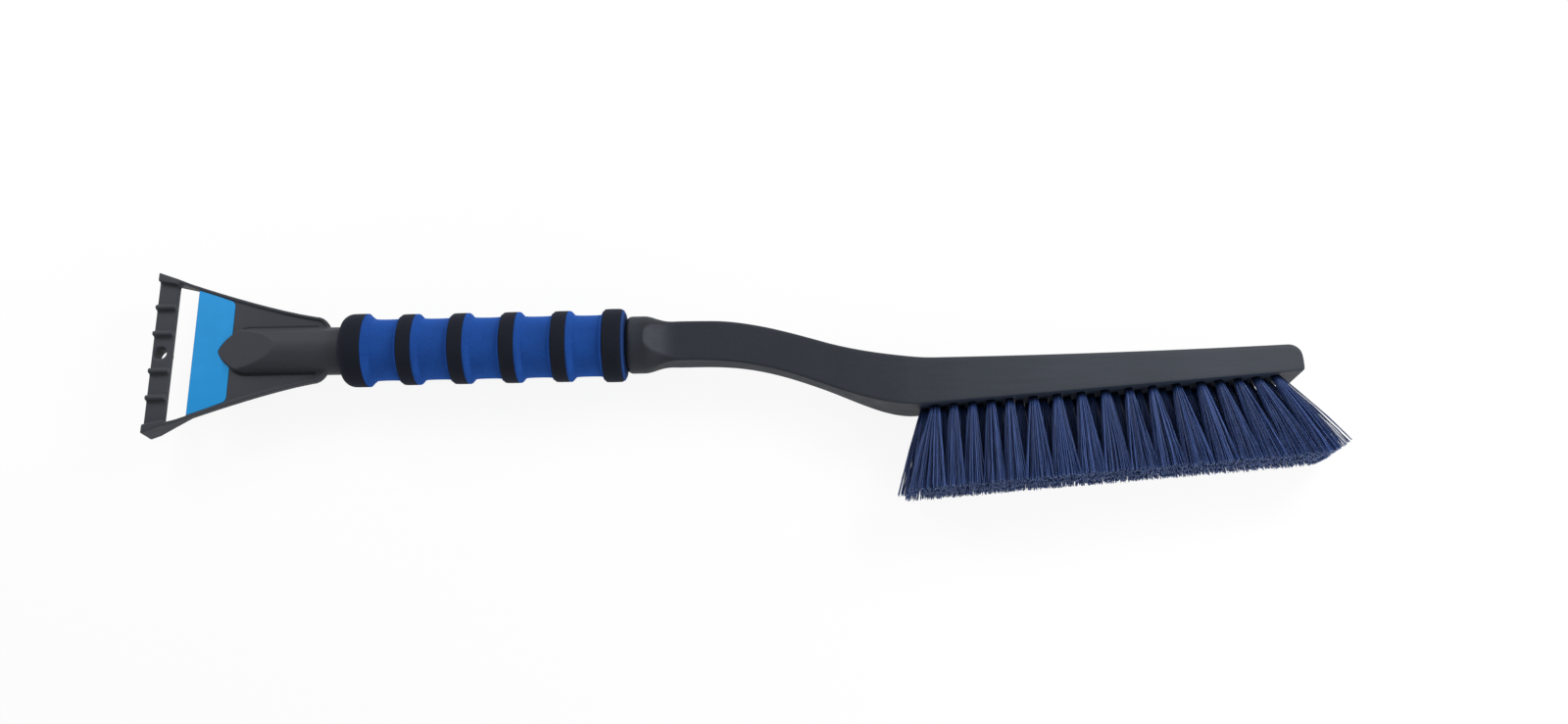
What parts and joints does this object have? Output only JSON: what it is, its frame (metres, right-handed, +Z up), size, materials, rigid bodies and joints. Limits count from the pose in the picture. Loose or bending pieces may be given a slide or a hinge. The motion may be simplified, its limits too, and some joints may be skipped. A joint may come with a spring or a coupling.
{
  "type": "snow broom",
  "caption": "Hand-held car snow broom: flared ice-scraper head with a slotted, ribbed blade, ringed foam grip, bent neck and a long angled bristle brush.",
  "frame": {"origin": "centre of the bounding box at its lowest level: the plane that the end rings of the foam grip lie on when the broom lies on its side", "axes": "+X along the handle from the scraper blade to the toe of the brush, +Y away from the bristles, +Z up from the surface the broom lies on, square to the scraper plate and on its ribbed, labelled side"},
  "size_m": [0.6146, 0.1276, 0.0384],
  "materials": {
    "plastic": "moulded plastic with a fine grain, satin",
    "black_foam": "black closed-cell foam, matt",
    "blue_foam": "blue closed-cell foam, matt",
    "label": "bare blue film label, smooth",
    "bristle": "navy drawn filament, satin",
    "wire": "flat drawn wire"
  },
  "bodies": {
    "root": {"scraper_head": "plastic", "label": "label", "brush_body": "plastic", "tuft_anchors": "wire", "front_end_ring": "black_foam", "rear_end_ring": "black_foam", "grip_end_disc": "blue_foam", "grip_ring_1": "black_foam", "grip_ring_2": "black_foam", "grip_ring_3": "black_foam", "grip_ring_4": "black_foam", "grip_sleeve_1": "blue_foam", "grip_sleeve_2": "blue_foam", "grip_sleeve_3": "blue_foam", "grip_sleeve_4": "blue_foam", "grip_sleeve_5": "blue_foam", "bristle_tufts_1": "bristle", "bristle_tufts_2": "bristle", "bristle_tufts_3": "bristle", "bristle_tufts_4": "bristle", "bristle_tufts_5": "bristle", "bristle_tufts_6": "bristle", "bristle_tufts_7": "bristle", "bristle_tufts_8": "bristle", "bristle_tufts_9": "bristle", "bristle_tufts_10": "bristle", "bristle_tufts_11": "bristle", "bristle_tufts_12": "bristle", "bristle_tufts_13": "bristle", "bristle_tufts_14": "bristle", "bristle_tufts_15": "bristle", "bristle_tufts_16": "bristle", "bristle_tufts_17": "bristle"}
  },
  "joints": []
}
